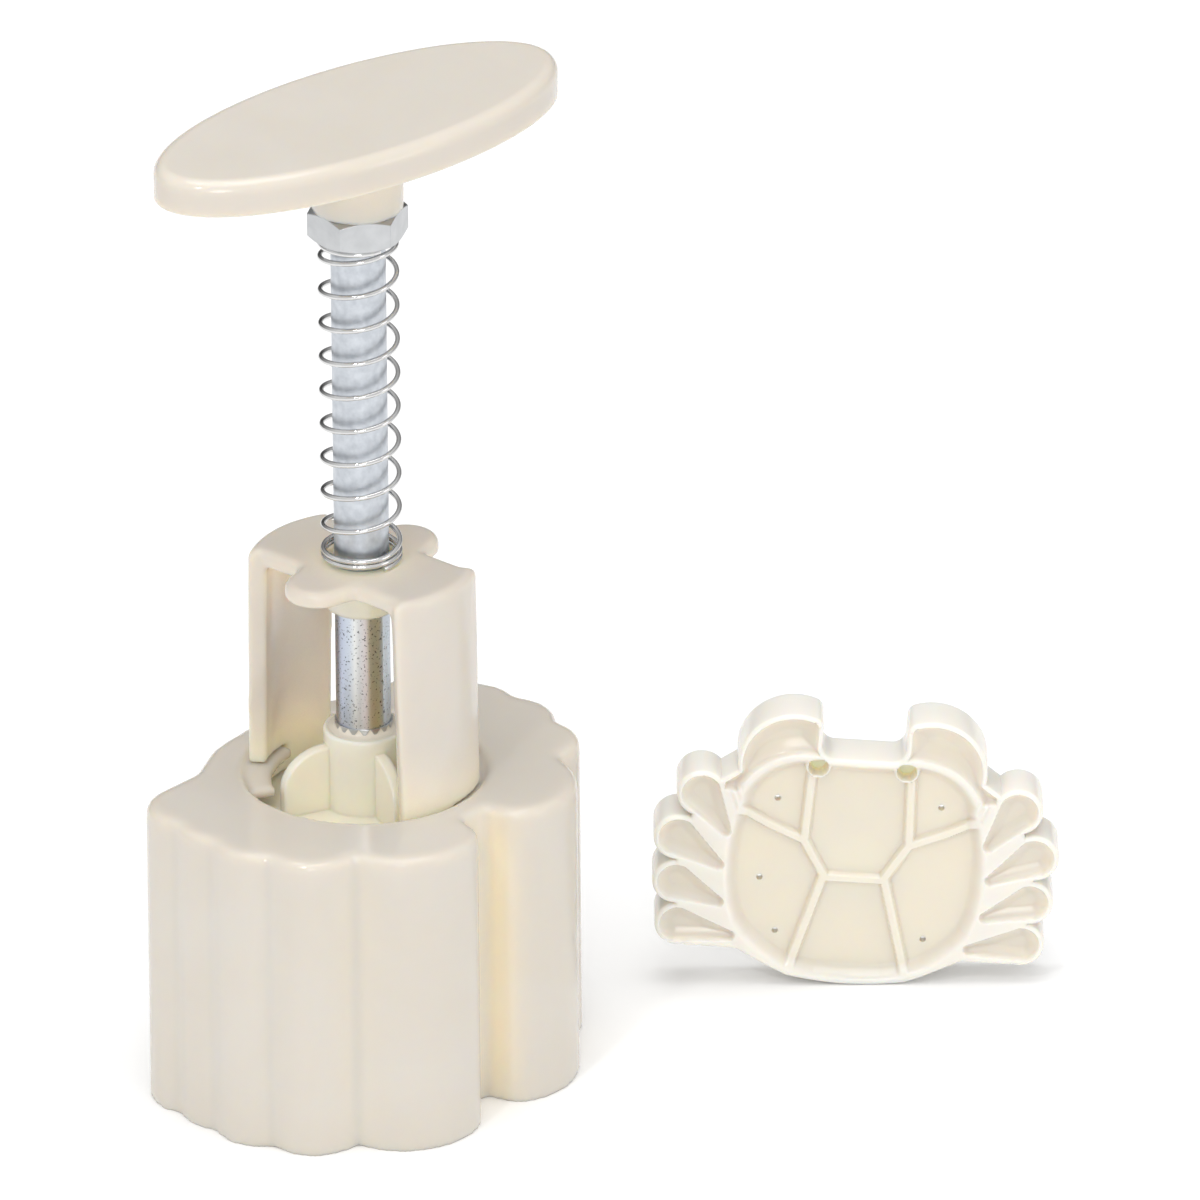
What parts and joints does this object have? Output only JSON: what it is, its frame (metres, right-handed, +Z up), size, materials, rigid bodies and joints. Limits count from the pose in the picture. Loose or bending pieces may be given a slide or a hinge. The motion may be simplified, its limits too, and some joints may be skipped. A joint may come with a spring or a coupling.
{
  "type": "mooncake press",
  "caption": "Hand press for filled pastries: crab-shaped mould, spring-loaded plunger in a guide cage, oval palm handle and a loose crab stamp.",
  "frame": {"origin": "on the plunger's axis, in the plane of the mould's open mouth, which the press stands on", "axes": "+Z up along the plunger to the palm handle, +X towards the crab's claws, +Y to the crab's side"},
  "size_m": [0.1015, 0.156, 0.1906],
  "materials": {
    "mould_plastic": "ivory moulded plastic, satin gloss",
    "stamp_plastic": "cream translucent moulded plastic, gloss",
    "rod_steel": "drawn bar, dull zinc plate",
    "spring_steel": "bright spring wire",
    "nut_steel": "zinc plate, satin"
  },
  "bodies": {
    "mould": {"mould_barrel": "mould_plastic"},
    "guide": {"guide_cage": "mould_plastic"},
    "spring": {"return_spring": "spring_steel"},
    "plunger": {"handle": "mould_plastic", "jam_nut": "nut_steel", "push_rod": "rod_steel", "plunger_carrier": "mould_plastic"},
    "stamp": {"crab_stamp": "stamp_plastic"}
  },
  "joints": [
    {"name": "guide_twist", "type": "hinge", "parent": "mould", "child": "guide", "pos_m": [0, 0, 0.0591], "axis": [0, 0, 1], "range_deg": [-35, 0]},
    {"name": "handle_spin", "type": "hinge", "parent": "guide", "child": "spring", "pos_m": [0, 0, 0.1012], "axis": [0, 0, 1], "continuous": true},
    {"name": "press_slide", "type": "slide", "parent": "spring", "child": "plunger", "axis": [0, 0, -1], "range_m": [0, 0.044], "stiffness_N_per_m": 310, "springref_m": -0.007, "deforming": ["return_spring"]},
    {"name": "stamp_lift", "type": "slide", "parent": "mould", "child": "stamp", "axis": [0, 0, 1], "range_m": [0, 0.06]}
  ]
}
